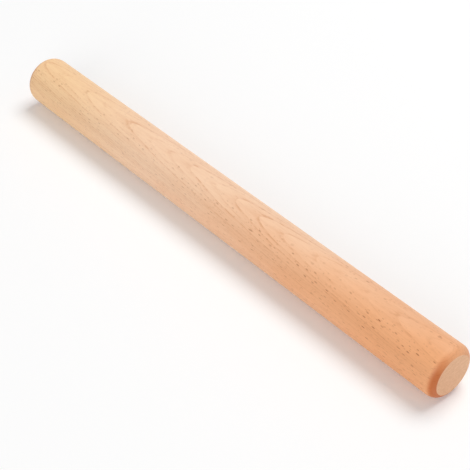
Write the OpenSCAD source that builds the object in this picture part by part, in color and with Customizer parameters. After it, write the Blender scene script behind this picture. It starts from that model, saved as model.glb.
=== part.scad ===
// Straight one-piece rolling pin, turned from a single length of beech.
// It lies along X on the table plane z = 0, with its middle over the origin.

/* [Barrel] */
// Length of the pin, from end face to end face
overall_l = 400; // [250:1:600]
// Diameter of the barrel, the same all the way between the rounded ends
barrel_d = 35; // [25:0.5:60]

/* [Ends] */
// Radius of the cutter that rounds each end
round_r = 6; // [4.5:0.5:12]
// Depth that the cutter takes off the barrel's radius at the end face
round_depth = 4; // [1.5:0.25:4.25]
// Radius sanded on the edge that the cutter leaves round the flat end face
edge_r = 0.6; // [0.2:0.1:1.2]

/* [Hidden] */
barrel_r = barrel_d / 2;
half_l = overall_l / 2;
// Length of the rounding along the pin, from the parallel barrel to the end face
round_l = sqrt(round_r ^ 2 - (round_r - round_depth) ^ 2);
// Centre of the cutter's arc, as [distance from the pin's axis, distance from its middle]
round_centre = [barrel_r - round_r, half_l - round_l];
// The sanded edge is a smaller arc that touches both the cutter's arc and the end face
edge_rise = round_l - edge_r;
edge_centre = round_centre + [sqrt((round_r - edge_r) ^ 2 - edge_rise ^ 2), edge_rise];
// Direction from the edge's centre to the point where it runs into the cutter's arc
edge_normal = (edge_centre - round_centre) / (round_r - edge_r);
// Direction from the edge's centre to the point where it runs into the end face
face_normal = [0, 1];
// Reach of the cut at the edge, enough to clear the sharp corner
edge_reach = 3 * edge_r;
barrel_fn = 96;
round_fn = 72;
edge_fn = 36;
beech = [0.93, 0.73, 0.56];

// The sharp corner outside the sanded edge, which the sanding takes away
module edge_waste() {
    difference() {
        polygon([
            edge_centre,
            edge_centre + edge_reach * edge_normal,
            edge_centre + edge_reach * (edge_normal + face_normal),
            edge_centre + edge_reach * face_normal
        ]);
        translate(edge_centre) circle(r = edge_r, $fn = edge_fn);
    }
}

// Half of the turned outline, on one side of the axis, from the pin's middle to one end face
module half_outline() {
    difference() {
        union() {
            square([barrel_r, half_l - round_l]);
            square([barrel_r - round_r, half_l]);
            intersection() {
                translate(round_centre) circle(r = round_r, $fn = round_fn);
                square([barrel_r, half_l]);
            }
        }
        edge_waste();
    }
}

// The whole pin, turned about its axis and laid on the table with the turned surface's seam on top
module rolling_pin() {
    color(beech)
    translate([0, 0, barrel_r])
    rotate([0, -90, 0])
    rotate_extrude($fn = barrel_fn) {
        half_outline();
        mirror([0, 1]) half_outline();
    }
}

rolling_pin();
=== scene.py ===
"""The looks of a straight one-piece beech rolling pin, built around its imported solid."""

import logging
import math
from dataclasses import dataclass
from enum import Enum

import bmesh
import bpy
from mathutils import Euler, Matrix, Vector, noise


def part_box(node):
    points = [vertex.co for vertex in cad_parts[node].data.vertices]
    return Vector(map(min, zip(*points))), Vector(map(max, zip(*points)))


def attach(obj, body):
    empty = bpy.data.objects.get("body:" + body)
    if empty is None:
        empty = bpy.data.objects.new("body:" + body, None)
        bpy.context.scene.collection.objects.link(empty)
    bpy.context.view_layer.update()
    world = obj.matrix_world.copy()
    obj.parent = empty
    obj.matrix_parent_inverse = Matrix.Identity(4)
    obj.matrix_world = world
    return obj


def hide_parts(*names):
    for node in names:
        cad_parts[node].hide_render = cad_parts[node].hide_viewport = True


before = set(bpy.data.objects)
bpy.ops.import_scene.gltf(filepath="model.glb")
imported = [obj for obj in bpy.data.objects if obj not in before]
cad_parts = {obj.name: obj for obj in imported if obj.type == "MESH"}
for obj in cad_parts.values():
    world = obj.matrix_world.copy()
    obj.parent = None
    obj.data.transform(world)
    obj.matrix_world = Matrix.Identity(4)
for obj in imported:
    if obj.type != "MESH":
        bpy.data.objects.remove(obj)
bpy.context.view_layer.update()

NODE = "rolling_pin"
BODY = "root"
MM = 0.001
PHOTO_WIDTH_PX = 470
SENSOR_MM = 36.0
WHITE = (1.0, 1.0, 1.0, 1.0)
# Where a Mix node keeps its factor and its two colours, and its mixed colour
MIX_INPUTS = (0, 6, 7)
MIX_RESULT = 2
log = logging.getLogger("rolling_pin")

Colour = tuple[float, float, float, float]
Span = tuple[float, float]
Socket = bpy.types.NodeSocket
Value = Socket | float | tuple[float, ...]


def srgb(red: int, green: int, blue: int) -> Colour:
    """Turns a screen colour into the linear one that shaders take.

    Args:
        red: Red, from 0 to 255.
        green: Green, from 0 to 255.
        blue: Blue, from 0 to 255.

    Returns:
        The linear colour with full alpha.
    """

    def linear(value: int) -> float:
        """Returns one channel, made linear."""
        share = value / 255
        return share / 12.92 if share <= 0.04045 else ((share + 0.055) / 1.055) ** 2.4

    return linear(red), linear(green), linear(blue), 1.0


class Zone(Enum):
    """The two kinds of wood surface on the pin, by the material index that each wears."""

    SIDE_GRAIN = 0
    END_GRAIN = 1


class Tree:
    """Short forms for placing and linking the nodes of one shader tree."""

    def __init__(self, tree: bpy.types.NodeTree) -> None:
        """Keeps the tree that the nodes go into."""
        self.tree = tree

    def feed(self, socket: Socket, value: Value) -> None:
        """Links a socket to another one, or sets its constant.

        Args:
            socket: The input to fill.
            value: An output socket, or a plain number, vector or colour.
        """
        if isinstance(value, Socket):
            self.tree.links.new(value, socket)
        else:
            socket.default_value = value

    def add(self, kind: str, inputs: dict[str, Value] | None = None, **settings: object) -> bpy.types.Node:
        """Places one node.

        Args:
            kind: Blender's name for the node's type.
            inputs: What each named input gets.
            **settings: The node's own settings.

        Returns:
            The new node.
        """
        node = self.tree.nodes.new(kind)
        for name, value in settings.items():
            setattr(node, name, value)
        for name, value in (inputs or {}).items():
            self.feed(node.inputs[name], value)
        return node

    def maths(self, operation: str, *values: Value) -> Socket:
        """Places a Math node.

        Args:
            operation: Its operation.
            *values: Its inputs in order.

        Returns:
            Its result.
        """
        node = self.add("ShaderNodeMath", operation=operation)
        for socket, value in zip(node.inputs, values):
            self.feed(socket, value)
        return node.outputs[0]

    def vector(self, operation: str, *values: Value) -> bpy.types.Node:
        """Places a Vector Math node.

        Args:
            operation: Its operation.
            *values: Its inputs in order.

        Returns:
            The node, whose result is a vector or a number.
        """
        node = self.add("ShaderNodeVectorMath", operation=operation)
        for socket, value in zip(node.inputs, values):
            self.feed(socket, value)
        return node

    def step(self, value: Value, low: Value, high: Value) -> Socket:
        """Eases a value from 0 at low to 1 at high.

        Args:
            value: The value.
            low: Where the result leaves 0.
            high: Where the result reaches 1.

        Returns:
            The eased result.
        """
        inputs = {"Value": value, "From Min": low, "From Max": high}
        return self.add("ShaderNodeMapRange", inputs, interpolation_type="SMOOTHSTEP").outputs[0]

    def blend(self, factor: Value, first: Value, second: Value) -> Socket:
        """Mixes two colours.

        Args:
            factor: The share of the second colour.
            first: The first colour.
            second: The second colour.

        Returns:
            The mixed colour.
        """
        node = self.add("ShaderNodeMix", data_type="RGBA")
        for index, value in zip(MIX_INPUTS, (factor, first, second)):
            self.feed(node.inputs[index], value)
        return node.outputs[MIX_RESULT]

    def at_least(self, mask: Socket, least: float) -> Socket:
        """Squeezes a mask from 0 to 1 so that it doesn't fall below a share.

        Args:
            mask: The mask.
            least: The share that is left where the mask is 0.

        Returns:
            The squeezed mask.
        """
        return self.maths("MULTIPLY_ADD", mask, 1.0 - least, least)

    def sway(self, waves: Socket, height: float, base: Value) -> Socket:
        """Adds a noise to a value, evenly above and below it.

        Args:
            waves: The noise, around a half.
            height: How much a full swing of the noise adds.
            base: The value.

        Returns:
            The swayed value.
        """
        return self.maths("MULTIPLY_ADD", self.maths("SUBTRACT", waves, 0.5), height, base)

    def stretched(self, place: Value, along: Value, across: Value) -> Socket:
        """Scales a place by one rate along the pin and another across it.

        Args:
            place: The place, in metres.
            along: Units per metre along X.
            across: Units per metre across.

        Returns:
            The scaled place.
        """
        rates = self.add("ShaderNodeCombineXYZ", {"X": along, "Y": across, "Z": across}).outputs["Vector"]
        return self.vector("MULTIPLY", place, rates).outputs["Vector"]

    def noise(self, place: Value, detail: float = 2.0, roughness: float = 0.5) -> Socket:
        """Places a noise whose features are about one unit across.

        Args:
            place: The scaled place to read it at.
            detail: Its octaves.
            roughness: How much the finer octaves count.

        Returns:
            Its value, around a half.
        """
        inputs = {"Vector": place, "Scale": 1.0, "Detail": detail, "Roughness": roughness}
        return self.add("ShaderNodeTexNoise", inputs).outputs[0]


@dataclass(frozen=True)
class LogCut:
    """How the pin was cut from the log: where the heart lay, and how the fibres run out of true.

    Attributes:
        heart_angle: The direction in which the rings grew, turned from +Y towards +Z.
        heart_depth: How far the heart lay from the pin's axis.
        fibre_slope: How far the fibres run out of true for each unit of the pin's length.
        ring_spacing: The width of one year's ring.
        wave_rates: How quickly the rings' waves change, per metre along the pin and across it.
        wave_height: The waves' full swing.
        ripple_rates: How quickly the rings' ripples change, likewise.
        ripple_height: The ripples' full swing.
    """

    heart_angle: float = math.radians(98.4)
    heart_depth: float = 95 * MM
    fibre_slope: float = 0.046
    ring_spacing: float = 1.05 * MM
    wave_rates: Span = (15.0, 42.0)
    wave_height: float = 1.7 * MM
    ripple_rates: Span = (80.0, 260.0)
    ripple_height: float = 0.25 * MM

    @property
    def outward(self) -> Vector:
        """The direction across the pin in which the rings grew."""
        return Vector((0.0, math.cos(self.heart_angle), math.sin(self.heart_angle)))

    @property
    def sideways(self) -> Vector:
        """The direction across the pin that runs along the rings."""
        return Vector((0.0, -math.sin(self.heart_angle), math.cos(self.heart_angle)))

    def along_fibres(self, tree: Tree, place: Socket) -> Socket:
        """Shears a place so that the fibres run straight along X.

        Args:
            tree: The tree to add the nodes to.
            place: A place on the pin, in metres.

        Returns:
            The same place in the wood's own frame.
        """
        lean = self.fibre_slope * self.outward
        length = tree.add("ShaderNodeSeparateXYZ", {"Vector": place}).outputs["X"]
        shift = tree.vector("SCALE", tuple(lean))
        tree.feed(shift.inputs["Scale"], length)
        return tree.vector("ADD", place, shift.outputs["Vector"]).outputs["Vector"]

    def growth(self, tree: Tree, place: Socket) -> Socket:
        """Measures how far out from the heart a place grew.

        Args:
            tree: The tree to add the nodes to.
            place: A place in the wood's own frame.

        Returns:
            The distance, with the waves that every ring shares.
        """
        heart = -self.heart_depth * self.outward
        across = tree.vector("MULTIPLY", place, (0.0, 1.0, 1.0)).outputs["Vector"]
        reach = tree.vector("DISTANCE", across, tuple(heart)).outputs["Value"]
        slow = tree.noise(tree.stretched(place, *self.wave_rates), detail=1.0)
        quick = tree.noise(tree.stretched(place, *self.ripple_rates), detail=1.0)
        return tree.sway(quick, self.ripple_height, tree.sway(slow, self.wave_height, reach))


@dataclass(frozen=True)
class FleckSize:
    """One size of ray fleck.

    Attributes:
        cell_length: The length of the cell that holds it, in millimetres.
        cell_width: The cell's width, in millimetres.
        size: The fleck's reach from the middle of its cell, as a share of the cell.
    """

    cell_length: float
    cell_width: float
    size: float

    def inputs(self) -> dict[str, float]:
        """Returns the size as inputs of the ray fleck group."""
        return {"Cell Length": self.cell_length, "Cell Width": self.cell_width, "Size": self.size}


LONG_FLECKS = FleckSize(cell_length=7.0, cell_width=0.95, size=0.24)
FINE_FLECKS = FleckSize(cell_length=3.6, cell_width=0.5, size=0.27)


@dataclass(frozen=True)
class GrainLook:
    """How the grain's marks look. Rates are per metre, along the pin and then across it.

    Attributes:
        line_rise: The stretch of a ring, as shares of its width, in which its dark line comes up.
        line_fall: The stretch in which the line ends.
        faintest_line: The strength of the weakest ring's line.
        gap_rates: How quickly the gaps in the lines change.
        gap_span: The noise values between which a gap closes.
        fleck_share: The share of the cells that hold a fleck.
        fleck_core: The share of a fleck that is at full strength.
        fleck_depth: The cell's reach along the rings, as a share of its length.
        faintest_fleck: The strength of the weakest fleck.
        calm_line: How far from the crest of the arches the flecks set in, as shares of the radius.
        calm_flecks: The flecks' strength along that crest.
        cloud_rates: How quickly the wood's colour changes.
        front_painted_shade: How much warmer and darker the front is painted than the back, as painted shade.
        cloud_warmth: How far the clouds shift the warm end's edge.
        warm_span: The places, in half lengths from the middle, between which the wood turns warm.
        honey_span: The places, the other way, between which it turns honey-coloured.
        streak_length: The length of a streak, in millimetres.
        streaks_across: The streaks' rate across the pin.
        streak_span: The noise values between which a streak comes up.
        pore_stretch: How many times longer a pore is than it is wide.
        pores_across: The pores' rate across the pin.
        pore_span: The noise values between which a pore comes up.
    """

    line_rise: Span = (0.62, 0.92)
    line_fall: Span = (0.94, 1.0)
    faintest_line: float = 0.3
    gap_rates: Span = (170.0, 520.0)
    gap_span: Span = (0.42, 0.6)
    fleck_share: float = 0.8
    fleck_core: float = 0.55
    fleck_depth: float = 0.7
    faintest_fleck: float = 0.4
    calm_line: Span = (0.04, 0.5)
    calm_flecks: float = 0.2
    cloud_rates: Span = (16.0, 40.0)
    front_painted_shade: float = 0.3
    cloud_warmth: float = 0.7
    warm_span: Span = (-0.15, 1.25)
    honey_span: Span = (0.25, 0.95)
    streak_length: float = 60.0
    streaks_across: float = 420.0
    streak_span: Span = (0.32, 0.7)
    pore_stretch: float = 14.0
    pores_across: float = 2200.0
    pore_span: Span = (0.52, 0.7)


class GrainGroups:
    """The shader node groups that the pin's finishes share, each made once."""

    def __init__(self, cut: LogCut, look: GrainLook, radius: float, half_length: float) -> None:
        """Makes every group.

        Args:
            cut: How the pin was cut from the log.
            look: How the grain's marks look.
            radius: The barrel's radius.
            half_length: Half of the pin's length.
        """
        self.cut = cut
        self.look = look
        self.radius = radius
        self.half_length = half_length
        self.rings = self.make_rings()
        self.flecks = self.make_flecks()
        self.drift = self.make_drift()
        self.pores = self.make_pores()

    def start(
        self, name: str, inputs: dict[str, float], outputs: list[str]
    ) -> tuple[Tree, bpy.types.Node, bpy.types.Node]:
        """Opens a group with a Position input and the named numbers.

        Args:
            name: The group's name.
            inputs: Each number that a material may set, with its usual value.
            outputs: The names of what it puts out.

        Returns:
            The tree, its input node and its output node.
        """
        group = bpy.data.node_groups.new(name, "ShaderNodeTree")
        group.interface.new_socket("Position", in_out="INPUT", socket_type="NodeSocketVector")
        for label, value in inputs.items():
            socket = group.interface.new_socket(label, in_out="INPUT", socket_type="NodeSocketFloat")
            socket.default_value = value
        for label in outputs:
            group.interface.new_socket(label, in_out="OUTPUT", socket_type="NodeSocketFloat")
        tree = Tree(group)
        return tree, tree.add("NodeGroupInput"), tree.add("NodeGroupOutput")

    def make_rings(self) -> bpy.types.NodeTree:
        """Makes the growth rings: thin late-wood lines round the heart, broken here and there.

        Returns:
            The group, with outputs Line and Band.
        """
        tree, given, out = self.start("growth_rings", {"Breaks": 1.0}, ["Line", "Band"])
        place = self.cut.along_fibres(tree, given.outputs["Position"])
        count = tree.maths("DIVIDE", self.cut.growth(tree, place), self.cut.ring_spacing)
        within = tree.maths("FRACT", count)
        year = tree.maths("FLOOR", count)
        luck = tree.add("ShaderNodeTexWhiteNoise", {"W": year}, noise_dimensions="1D").outputs["Value"]
        rise = tree.step(within, *self.look.line_rise)
        fall = tree.maths("SUBTRACT", 1.0, tree.step(within, *self.look.line_fall))
        patches = tree.noise(tree.stretched(place, *self.look.gap_rates))
        unbroken = tree.maths("SUBTRACT", 1.0, given.outputs["Breaks"])
        held = tree.maths("MAXIMUM", unbroken, tree.step(patches, *self.look.gap_span))
        line = tree.maths("MULTIPLY", tree.maths("MULTIPLY", rise, fall), held)
        weight = tree.at_least(luck, self.look.faintest_line)
        tree.feed(out.inputs["Line"], tree.maths("MULTIPLY", line, weight))
        tree.feed(out.inputs["Band"], tree.maths("MULTIPLY", within, luck))
        return tree.tree

    def make_flecks(self) -> bpy.types.NodeTree:
        """Makes the ray flecks: short dark dashes that follow the arms of the ring arches.

        Returns:
            The group, with output Fleck.
        """
        inputs = {**LONG_FLECKS.inputs(), "Share": self.look.fleck_share}
        tree, given, out = self.start("ray_flecks", inputs, ["Fleck"])
        place = self.cut.along_fibres(tree, given.outputs["Position"])
        along = tree.add("ShaderNodeSeparateXYZ", {"Vector": place}).outputs["X"]
        side = tree.vector("DOT_PRODUCT", place, tuple(self.cut.sideways)).outputs["Value"]
        length = tree.maths("MULTIPLY", given.outputs["Cell Length"], MM)
        width = tree.maths("MULTIPLY", given.outputs["Cell Width"], MM)
        spots = {
            "X": tree.maths("DIVIDE", along, length),
            "Y": tree.maths("DIVIDE", self.cut.growth(tree, place), width),
            "Z": tree.maths("DIVIDE", side, tree.maths("MULTIPLY", length, self.look.fleck_depth)),
        }
        spot = tree.add("ShaderNodeCombineXYZ", spots).outputs["Vector"]
        cells = tree.add("ShaderNodeTexVoronoi", {"Vector": spot, "Scale": 1.0}, feature="F1")
        luck = tree.add("ShaderNodeSeparateColor", {"Color": cells.outputs["Color"]})
        reach = given.outputs["Size"]
        core = tree.maths("MULTIPLY", reach, self.look.fleck_core)
        body = tree.maths("SUBTRACT", 1.0, tree.step(cells.outputs["Distance"], core, reach))
        kept = tree.maths("LESS_THAN", luck.outputs["Red"], given.outputs["Share"])
        weight = tree.at_least(luck.outputs["Green"], self.look.faintest_fleck)
        near, far = (share * self.radius for share in self.look.calm_line)
        calm = tree.at_least(tree.step(tree.maths("ABSOLUTE", side), near, far), self.look.calm_flecks)
        fleck = tree.maths("MULTIPLY", tree.maths("MULTIPLY", body, kept), weight)
        tree.feed(out.inputs["Fleck"], tree.maths("MULTIPLY", fleck, calm))
        return tree.tree

    def make_drift(self) -> bpy.types.NodeTree:
        """Makes the wood's slow colour change, painted shade on its front, and the soft streaks along the
        fibres.

        Returns:
            The group, with outputs Warmth, Honey, Streak and Cloud.
        """
        inputs = {"Streak Length": self.look.streak_length}
        tree, given, out = self.start("colour_drift", inputs, ["Warmth", "Honey", "Streak", "Cloud"])
        place = self.cut.along_fibres(tree, given.outputs["Position"])
        parts = tree.add("ShaderNodeSeparateXYZ", {"Vector": place})
        cloud = tree.noise(tree.stretched(place, *self.look.cloud_rates), detail=3.0)
        ahead = tree.maths("DIVIDE", parts.outputs["X"], self.half_length)
        # Painted shade: the front side, away from the top lamp, is pushed towards the warm, darker colour
        front = tree.maths("DIVIDE", parts.outputs["Y"], -self.radius)
        lean = tree.maths("MULTIPLY_ADD", front, self.look.front_painted_shade, ahead)
        clouded = tree.sway(cloud, self.look.cloud_warmth, lean)
        tree.feed(out.inputs["Warmth"], tree.step(clouded, *self.look.warm_span))
        behind = tree.maths("MULTIPLY", ahead, -1.0)
        tree.feed(out.inputs["Honey"], tree.step(behind, *self.look.honey_span))
        rate = tree.maths("DIVIDE", 1.0 / MM, given.outputs["Streak Length"])
        fibres = tree.noise(tree.stretched(place, rate, self.look.streaks_across), detail=4.0, roughness=0.6)
        tree.feed(out.inputs["Streak"], tree.step(fibres, *self.look.streak_span))
        tree.feed(out.inputs["Cloud"], cloud)
        return tree.tree

    def make_pores(self) -> bpy.types.NodeTree:
        """Makes the fine pores and fibres, as a height and a mask.

        Returns:
            The group, with outputs Height and Pore.
        """
        inputs = {"Stretch": self.look.pore_stretch}
        tree, given, out = self.start("fine_pores", inputs, ["Height", "Pore"])
        place = self.cut.along_fibres(tree, given.outputs["Position"])
        across = self.look.pores_across
        rate = tree.maths("DIVIDE", across, given.outputs["Stretch"])
        fibres = tree.noise(tree.stretched(place, rate, across), detail=3.0, roughness=0.6)
        tree.feed(out.inputs["Height"], fibres)
        tree.feed(out.inputs["Pore"], tree.step(fibres, *self.look.pore_span))
        return tree.tree


@dataclass(frozen=True)
class BrownEndsAndShade:
    """Where the rounded ends turn brown: faintly all round, as the end grain's own colour, and much more on
    the lower front side, as painted shade.

    Attributes:
        start: Where the brown sets in, measured from the end in lengths of the rounding.
        full: Where it reaches its full strength, likewise.
        side: The direction across the pin, towards the front and the floor, in which the painted shade is
            strongest.
        cloud_pull: How uneven the clouds make it.
        span: The places between which it comes up, in radii towards that side.
        least: The share that is left on the other side, where only the faint real brown lies.
    """

    start: float = 0.92
    full: float = 0.30
    # Towards the front and the floor, where the painted shade lies
    side: tuple[float, float, float] = (0.0, -0.86, -0.5)
    cloud_pull: float = 0.7
    span: Span = (-0.55, 0.65)
    least: float = 0.15

    def mask(
        self, tree: Tree, groups: GrainGroups, place: Socket, cloud: Socket, round_length: float
    ) -> Socket:
        """Says how brown each place is, with the painted shade on the lower front side.

        Args:
            tree: The material's tree.
            groups: The shared groups, for the pin's sizes.
            place: The place on the pin.
            cloud: A slow noise that makes the band uneven.
            round_length: The length of the rounding.

        Returns:
            A mask from 0 to 1.
        """
        parts = tree.add("ShaderNodeSeparateXYZ", {"Vector": place})
        reach = tree.maths("ABSOLUTE", parts.outputs["X"])
        start, full = (groups.half_length - share * round_length for share in (self.start, self.full))
        ends = tree.step(reach, start, full)
        towards = tuple(part / groups.radius for part in self.side)
        side = tree.vector("DOT_PRODUCT", place, towards).outputs["Value"]
        patch = tree.sway(cloud, self.cloud_pull, side)
        around = tree.at_least(tree.step(patch, *self.span), self.least)
        return tree.maths("MULTIPLY", ends, around)


@dataclass(frozen=True)
class BeechFinish:
    """Bare sanded beech, with colours for one kind of surface.

    Attributes:
        name: The material's name.
        pale: The wood's colour in the middle of the pin.
        warm: Its colour towards the end at high X, and the painted shade on the front side.
        honey: Its colour towards the other end.
        ring: The colour of ring lines and streaks.
        fleck: The colour of ray flecks and pores.
        end_brown_and_shade: The rounded ends' brown, partly the end grain's own and partly painted shade.
        ring_weight: The strength of the ring lines.
        fleck_weight: The strength of the flecks.
        streak_weight: The strength of the streaks.
        pore_weight: The strength of the pores' colour.
        end_brown_and_shade_weight: The strength of the brown band and its painted shade on the ends.
        fleck_share: The share of the long flecks' cells that hold one.
        ring_breaks: How far the ring lines are broken up, from 0 to 1.
        roughness: The bare wood's roughness.
        gloss: How much smoother the ends are where the brown band and its painted shade lie.
        band_share: The strength of a ring's slow darkening beside its line.
        fine_share: The fine flecks' strength beside the long ones.
        pale_flecks: The flecks' strength where the wood is palest.
        fleck_dip: How deep a fleck lies beside the pores.
        bump_strength: The strength of the fine relief.
        bump_height: Its height.
        specular: The shader's specular level.
    """

    name: str
    pale: Colour
    warm: Colour
    honey: Colour
    ring: Colour
    fleck: Colour
    end_brown_and_shade: Colour
    ring_weight: float
    fleck_weight: float
    streak_weight: float
    pore_weight: float
    end_brown_and_shade_weight: float
    fleck_share: float
    ring_breaks: float
    roughness: float
    gloss: float
    band_share: float = 0.35
    fine_share: float = 0.6
    pale_flecks: float = 0.55
    fleck_dip: float = 0.8
    bump_strength: float = 0.35
    bump_height: float = 0.08 * MM
    specular: float = 0.35

    def dress(self, groups: GrainGroups, round_length: float) -> bpy.types.Material:
        """Builds the material.

        Args:
            groups: The shared node groups.
            round_length: The length of the rounding at each end.

        Returns:
            The material.
        """
        material = bpy.data.materials.new(self.name)
        material.use_nodes = True
        material.node_tree.nodes.clear()
        tree = Tree(material.node_tree)
        place = self.pin_place(tree, groups.radius)
        rings = self.group(tree, groups.rings, place, {"Breaks": self.ring_breaks})
        long_inputs = {**LONG_FLECKS.inputs(), "Share": self.fleck_share}
        long_flecks = self.group(tree, groups.flecks, place, long_inputs)
        fine_flecks = self.group(tree, groups.flecks, place, FINE_FLECKS.inputs())
        drift = self.group(tree, groups.drift, place, {})
        pores = self.group(tree, groups.pores, place, {})
        # Warm colour towards the high-X end, with painted shade on the front side
        colour = tree.blend(drift.outputs["Warmth"], self.pale, self.warm)
        colour = tree.blend(drift.outputs["Honey"], colour, self.honey)
        streak = tree.maths("MULTIPLY", drift.outputs["Streak"], self.streak_weight)
        colour = tree.blend(streak, colour, self.ring)
        band = tree.maths("MULTIPLY", rings.outputs["Band"], self.band_share * self.ring_weight)
        colour = tree.blend(band, colour, self.ring)
        line = tree.maths("MULTIPLY", rings.outputs["Line"], self.ring_weight)
        colour = tree.blend(line, colour, self.ring)
        fine = fine_flecks.outputs["Fleck"]
        flecks = tree.maths("MULTIPLY_ADD", fine, self.fine_share, long_flecks.outputs["Fleck"])
        denser = tree.at_least(drift.outputs["Warmth"], self.pale_flecks)
        fleck = tree.maths("MULTIPLY", tree.maths("MULTIPLY", flecks, denser), self.fleck_weight)
        colour = tree.blend(fleck, colour, self.fleck)
        pore = tree.maths("MULTIPLY", pores.outputs["Pore"], self.pore_weight)
        colour = tree.blend(pore, colour, self.fleck)
        # Brown on the rounded ends: faintly the end grain's own, and painted shade on the lower front side
        browned_and_shaded = BrownEndsAndShade().mask(tree, groups, place, drift.outputs["Cloud"], round_length)
        end_brown_and_shade = tree.maths("MULTIPLY", browned_and_shaded, self.end_brown_and_shade_weight)
        colour = tree.blend(end_brown_and_shade, colour, self.end_brown_and_shade)
        height = tree.maths("MULTIPLY_ADD", fleck, -self.fleck_dip, pores.outputs["Height"])
        relief = {"Height": height, "Strength": self.bump_strength, "Distance": self.bump_height}
        bump = tree.add("ShaderNodeBump", relief)
        polish = tree.maths("MULTIPLY_ADD", end_brown_and_shade, -self.gloss, self.roughness)
        inputs = {"Base Color": colour, "Roughness": polish, "Normal": bump.outputs["Normal"]}
        shader = tree.add("ShaderNodeBsdfPrincipled", inputs)
        shader.inputs["Specular IOR Level"].default_value = self.specular
        output = tree.add("ShaderNodeOutputMaterial")
        tree.feed(output.inputs["Surface"], shader.outputs["BSDF"])
        return material

    def pin_place(self, tree: Tree, radius: float) -> Socket:
        """Returns the place on the pin, measured from the middle of its axis."""
        where = tree.add("ShaderNodeTexCoord").outputs["Object"]
        return tree.vector("SUBTRACT", where, (0.0, 0.0, radius)).outputs["Vector"]

    def group(
        self, tree: Tree, group: bpy.types.NodeTree, place: Socket, inputs: dict[str, Value]
    ) -> bpy.types.Node:
        """Places a shared group.

        Args:
            tree: The material's tree.
            group: The group.
            place: The place on the pin.
            inputs: This finish's own values for it.

        Returns:
            The group's node.
        """
        node = tree.add("ShaderNodeGroup", node_tree=group)
        for name, value in {"Position": place, **inputs}.items():
            tree.feed(node.inputs[name], value)
        return node


SIDE_FINISH = BeechFinish(
    name="beech_side_grain",
    pale=srgb(253, 215, 182),
    warm=srgb(244, 176, 125),
    honey=srgb(253, 213, 165),
    ring=srgb(214, 146, 98),
    fleck=srgb(164, 92, 50),
    # The rounded ends' brown, mostly painted shade on the lower front side
    end_brown_and_shade=srgb(190, 96, 34),
    ring_weight=0.55,
    fleck_weight=0.8,
    streak_weight=0.16,
    pore_weight=0.12,
    end_brown_and_shade_weight=0.9,
    fleck_share=0.8,
    ring_breaks=0.85,
    roughness=0.55,
    gloss=0.16,
)
END_FINISH = BeechFinish(
    name="beech_end_grain",
    pale=srgb(248, 200, 161),
    warm=srgb(248, 200, 161),
    honey=srgb(248, 200, 161),
    ring=srgb(206, 146, 106),
    fleck=srgb(176, 116, 78),
    # The end faces' brown, partly painted shade on the lower front side
    end_brown_and_shade=srgb(196, 126, 76),
    ring_weight=0.55,
    fleck_weight=0.4,
    streak_weight=0.2,
    pore_weight=0.25,
    end_brown_and_shade_weight=0.15,
    fleck_share=0.7,
    ring_breaks=0.3,
    roughness=0.66,
    gloss=0.05,
)

FINISHES = {Zone.SIDE_GRAIN: SIDE_FINISH, Zone.END_GRAIN: END_FINISH}


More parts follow.
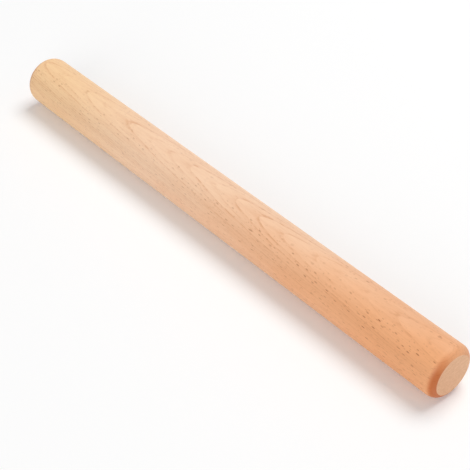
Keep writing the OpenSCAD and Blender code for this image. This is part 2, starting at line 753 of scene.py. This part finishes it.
@dataclass
class Pin:
    """The turned pin: a parallel barrel, rounded shoulders, a sanded edge and two flat end faces.

    Attributes:
        round_radius: The radius of the cutter that rounds the ends.
        round_depth: How much the rounding takes off the radius.
        edge_radius: The radius of the sanded edge round the end face.
        barrel_steps: The number of mesh steps along the barrel.
        round_steps: The number along one rounding.
        edge_steps: The number round one sanded edge.
        face_rings: The number from an end face's rim to its middle.
        sides: The number round the pin.
        sanding_relief: The height of the hand sanding's waves.
        sanding_rates: How quickly they change, per metre along the pin and across it.
        fibre_relief: The height of the raised fibres.
        fibre_rates: How quickly they change, likewise.
        weld_distance: The distance under which the two halves' meeting points become one.
        strip_height: The height of one half's strip on the map.
        strip_gap: The gap between strips.
        cap_map: The width of an end face on the map.
        cap_left: The left edge of each end face's place on the map.
    """

    round_radius: float = 6.0 * MM
    round_depth: float = 4.0 * MM
    edge_radius: float = 0.6 * MM
    barrel_steps: int = 360
    round_steps: int = 10
    edge_steps: int = 5
    face_rings: int = 8
    sides: int = 192
    sanding_relief: float = 0.030 * MM
    sanding_rates: Span = (22.0, 110.0)
    fibre_relief: float = 0.014 * MM
    fibre_rates: Span = (260.0, 1300.0)
    weld_distance: float = 0.0005 * MM
    strip_height: float = 0.44
    strip_gap: float = 0.01
    cap_map: float = 0.094
    cap_left: Span = (0.02, 0.52)

    def __post_init__(self) -> None:
        """Takes the barrel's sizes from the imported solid."""
        low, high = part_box(NODE)
        self.half_length = (high[0] - low[0]) / 2
        self.radius = (high[1] - low[1]) / 2
        cut = self.round_radius - self.round_depth
        self.round_length = math.sqrt(self.round_radius**2 - cut**2)

    def half_profile(self) -> list[tuple[float, float, Zone]]:
        """Draws the outline from the pin's middle to the rim of one end's smallest ring.

        Returns:
            The distance from the middle, the radius and the kind of surface that leads to each point.
        """
        shoulder = self.half_length - self.round_length
        half_steps = self.barrel_steps // 2
        points = [(shoulder * i / half_steps, self.radius, Zone.SIDE_GRAIN) for i in range(half_steps + 1)]
        centre = self.radius - self.round_radius
        inner = self.round_radius - self.edge_radius
        rise = self.round_length - self.edge_radius
        last = math.asin(rise / inner)
        for i in range(1, self.round_steps + 1):
            turn = last * i / self.round_steps
            along = shoulder + self.round_radius * math.sin(turn)
            points.append((along, centre + self.round_radius * math.cos(turn), Zone.SIDE_GRAIN))
        edge_along = shoulder + inner * math.sin(last)
        edge_out = centre + inner * math.cos(last)
        for i in range(1, self.edge_steps + 1):
            turn = last + (math.pi / 2 - last) * i / self.edge_steps
            zone = Zone.SIDE_GRAIN if i <= self.edge_steps // 2 else Zone.END_GRAIN
            along = edge_along + self.edge_radius * math.sin(turn)
            points.append((along, edge_out + self.edge_radius * math.cos(turn), zone))
        for i in range(1, self.face_rings):
            points.append((self.half_length, edge_out * (1 - i / self.face_rings), Zone.END_GRAIN))
        return points

    def relief(self, place: Vector) -> float:
        """Returns how far hand sanding and open fibres leave the surface from true at a place."""
        waves = noise.noise(self.stretched(place, *self.sanding_rates))
        fibres = noise.noise(self.stretched(place, *self.fibre_rates))
        return self.sanding_relief * waves + self.fibre_relief * fibres

    @staticmethod
    def stretched(place: Vector, along: float, across: float) -> Vector:
        """Returns a place scaled by one rate along the pin and another across it."""
        return Vector((place.x * along, place.y * across, place.z * across))

    def build(self) -> bpy.types.Object:
        """Turns the outline about the pin's axis, with a map for its finish.

        Returns:
            The pin's object, without materials.
        """
        mesh = bpy.data.meshes.new("turned_beech_pin")
        work = bmesh.new()
        uv = work.loops.layers.uv.new("OFBake")
        for end in (-1, 1):
            self.build_half(work, uv, end)
        bmesh.ops.remove_doubles(work, verts=work.verts[:], dist=self.weld_distance)
        bmesh.ops.recalc_face_normals(work, faces=work.faces[:])
        for face in work.faces:
            face.smooth = True
        work.to_mesh(mesh)
        work.free()
        pin = bpy.data.objects.new("turned_beech_pin", mesh)
        bpy.context.scene.collection.objects.link(pin)
        return pin

    def build_half(self, work: bmesh.types.BMesh, uv: bmesh.types.BMLayerItem, end: int) -> None:
        """Builds the half of the pin towards one end.

        Args:
            work: The mesh in the making.
            uv: Its map.
            end: 1 for the end at high X, -1 for the other.
        """
        outline = self.half_profile()
        lengths = [0.0]
        for before, after in zip(outline, outline[1:]):
            lengths.append(lengths[-1] + math.dist(before[:2], after[:2]))
        strip = sum(1 for point in outline if point[2] is Zone.SIDE_GRAIN)
        strip_length = lengths[strip - 1]
        rings = [self.ring(work, end * along, radius) for along, radius, _ in outline]
        bottom = 0.0 if end < 0 else self.strip_height + self.strip_gap
        for row in range(len(rings) - 1):
            zone = outline[row + 1][2]
            for column in range(self.sides):
                corners = [(row, column), (row + 1, column), (row + 1, column + 1), (row, column + 1)]
                face = work.faces.new([rings[r][c % self.sides] for r, c in corners])
                face.material_index = zone.value
                for loop, (r, c) in zip(face.loops, corners):
                    if zone is Zone.SIDE_GRAIN:
                        share = lengths[r] / strip_length
                        loop[uv].uv = (share, bottom + self.strip_height * c / self.sides)
                    else:
                        loop[uv].uv = self.cap_place(loop.vert.co, end)
        centre = work.verts.new((end * self.half_length, 0.0, self.radius))
        for column in range(self.sides):
            face = work.faces.new([rings[-1][column], centre, rings[-1][(column + 1) % self.sides]])
            face.material_index = Zone.END_GRAIN.value
            for loop in face.loops:
                loop[uv].uv = self.cap_place(loop.vert.co, end)

    def ring(self, work: bmesh.types.BMesh, along: float, radius: float) -> list[bmesh.types.BMVert]:
        """Places one ring of vertices round the axis.

        Args:
            work: The mesh in the making.
            along: The ring's place along X.
            radius: Its radius before the relief.

        Returns:
            Its vertices in order.
        """
        verts = []
        for column in range(self.sides):
            turn = 2 * math.pi * column / self.sides
            out = Vector((0.0, math.cos(turn), math.sin(turn)))
            place = Vector((along, 0.0, 0.0)) + radius * out
            full = min(1.0, radius / self.radius)
            reach = radius + self.relief(place) * full
            verts.append(work.verts.new(Vector((along, 0.0, self.radius)) + reach * out))
        return verts

    def cap_place(self, place: Vector, end: int) -> tuple[float, float]:
        """Returns the place of an end face's point on the map."""
        left = self.cap_left[0 if end < 0 else 1]
        half = self.cap_map / 2
        scale = half / self.radius
        bottom = 2 * (self.strip_height + self.strip_gap)
        return left + half + place.y * scale, bottom + half + (place.z - self.radius) * scale

    def dress(self, pin: bpy.types.Object) -> None:
        """Gives the pin its finishes.

        Args:
            pin: The pin's object.
        """
        groups = GrainGroups(LogCut(), GrainLook(), self.radius, self.half_length)
        for zone in Zone:
            pin.data.materials.append(FINISHES[zone].dress(groups, self.round_length))


@dataclass(frozen=True)
class Lamp:
    """One round soft lamp, aimed at the middle of the pin.

    Attributes:
        name: The lamp's name.
        azimuth: The direction that it hangs in, turned from +X towards +Y.
        elevation: Its angle above the floor.
        distance: Its distance from the pin.
        width: Its diameter.
        level: How bright it makes the pin.
    """

    name: str
    azimuth: float
    elevation: float
    distance: float
    width: float
    level: float

    def build(self) -> None:
        """Hangs the lamp. Its power grows with its distance, so the level alone says how bright it looks."""
        light = bpy.data.lights.new(self.name, "AREA")
        light.shape = "DISK"
        light.size = self.width
        light.energy = self.level * (math.pi * self.distance) ** 2
        lamp = bpy.data.objects.new(self.name, light)
        flat = math.cos(self.elevation)
        across = Vector((math.cos(self.azimuth), math.sin(self.azimuth), 0.0))
        away = flat * across + Vector((0.0, 0.0, math.sin(self.elevation)))
        lamp.location = self.distance * away
        lamp.rotation_euler = away.to_track_quat("Z", "Y").to_euler()
        bpy.context.scene.collection.objects.link(lamp)


@dataclass
class Studio:
    """A plain white floor, a soft lamp above and behind the pin, a weaker one in front, and an even sky.

    Attributes:
        floor_half: Half the floor's width.
        sky_fill: The sky's strength as a light.
        floor_colour: The floor's own colour.
        floor_lift: The glow that lifts the floor to white in view.
        floor_cells: The number of mesh cells along each side of the floor.
        lamps: The lamps.
    """

    floor_half: float = 6.0
    sky_fill: float = 0.38
    floor_colour: Colour = (0.93, 0.93, 0.93, 1.0)
    floor_lift: float = 0.1
    floor_cells: int = 8
    lamps: tuple[Lamp, ...] = (
        Lamp(
            name="top_lamp",
            azimuth=math.radians(88),
            elevation=math.radians(66),
            distance=3.0,
            width=1.9,
            level=0.56,
        ),
        Lamp(
            name="front_lamp",
            azimuth=math.radians(-58),
            elevation=math.radians(20),
            distance=3.0,
            width=2.2,
            level=0.36,
        ),
    )

    def build(self) -> None:
        """Builds the floor, the lamps and the sky."""
        self.build_floor()
        for lamp in self.lamps:
            lamp.build()
        self.build_sky()

    def seen_mask(self, tree: Tree) -> Socket:
        """Returns 1 for rays that show the surroundings themselves, straight or mirrored."""
        rays = tree.add("ShaderNodeLightPath").outputs
        mirrored = tree.maths("MAXIMUM", rays["Is Glossy Ray"], rays["Is Transmission Ray"])
        return tree.maths("MAXIMUM", rays["Is Camera Ray"], mirrored)

    def build_floor(self) -> None:
        """Builds the floor, which lifts to white in view and keeps the pin's shadow."""
        mesh = bpy.data.meshes.new("floor")
        work = bmesh.new()
        cells = self.floor_cells
        bmesh.ops.create_grid(work, x_segments=cells, y_segments=cells, size=self.floor_half)
        work.to_mesh(mesh)
        work.free()
        floor = bpy.data.objects.new("floor", mesh)
        bpy.context.scene.collection.objects.link(floor)
        material = bpy.data.materials.new("white_floor")
        material.use_nodes = True
        material.node_tree.nodes.clear()
        tree = Tree(material.node_tree)
        matt = tree.add("ShaderNodeBsdfDiffuse", {"Color": self.floor_colour})
        lift = tree.maths("MULTIPLY", self.seen_mask(tree), self.floor_lift)
        glow = tree.add("ShaderNodeEmission", {"Color": WHITE, "Strength": lift})
        both = tree.add("ShaderNodeAddShader")
        tree.feed(both.inputs[0], matt.outputs[0])
        tree.feed(both.inputs[1], glow.outputs[0])
        output = tree.add("ShaderNodeOutputMaterial")
        tree.feed(output.inputs["Surface"], both.outputs[0])
        mesh.materials.append(material)

    def build_sky(self) -> None:
        """Builds the even sky, white in view and dimmer as a light."""
        world = bpy.data.worlds.new("studio_sky")
        world.use_nodes = True
        world.node_tree.nodes.clear()
        tree = Tree(world.node_tree)
        fill = tree.add("ShaderNodeBackground", {"Color": WHITE, "Strength": self.sky_fill})
        seen = tree.add("ShaderNodeBackground", {"Color": WHITE, "Strength": 1.0})
        mix = tree.add("ShaderNodeMixShader", {"Fac": self.seen_mask(tree)})
        tree.feed(mix.inputs[1], fill.outputs[0])
        tree.feed(mix.inputs[2], seen.outputs[0])
        output = tree.add("ShaderNodeOutputWorld")
        tree.feed(output.inputs["Surface"], mix.outputs[0])
        bpy.context.scene.world = world


@dataclass(frozen=True)
class PhotoCamera:
    """The photograph's viewing angle.

    Attributes:
        azimuth: The direction that it looks in: 0 is along +Y, and a quarter turn is along -X.
        elevation: How far it looks down.
        distance: Its distance from the point that it is aimed at.
        aim: That point.
        focal_px: Its focal length, in pixels of the photograph.
        clip_end: The furthest distance that it shows.
    """

    azimuth: float = math.radians(49.112)
    elevation: float = math.radians(40.228)
    distance: float = 0.8029
    aim: tuple[float, float, float] = (0.0156, -0.0011, 0.0027)
    focal_px: float = 1233.0
    clip_end: float = 20.0

    def build(self) -> None:
        """Places the camera and makes it the scene's own."""
        data = bpy.data.cameras.new("photo_camera")
        data.sensor_width = SENSOR_MM
        data.lens = self.focal_px / PHOTO_WIDTH_PX * SENSOR_MM
        data.clip_end = self.clip_end
        camera = bpy.data.objects.new("photo_camera", data)
        turn = Euler((math.pi / 2 - self.elevation, 0.0, self.azimuth))
        camera.rotation_euler = turn
        back = turn.to_matrix() @ Vector((0.0, 0.0, 1.0))
        camera.location = Vector(self.aim) + self.distance * back
        bpy.context.scene.collection.objects.link(camera)
        bpy.context.scene.camera = camera


def main() -> None:
    """Builds the studio, the camera and the pin, and reports the pin's face count."""
    logging.basicConfig(level=logging.INFO, format="%(name)s: %(message)s")
    bpy.context.scene.view_settings.view_transform = "Standard"
    PhotoCamera().build()
    Studio().build()
    maker = Pin()
    pin = maker.build()
    maker.dress(pin)
    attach(pin, BODY)
    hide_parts(NODE)
    log.info("%s: %d faces", pin.name, len(pin.data.polygons))


if __name__ == "__main__":
    main()
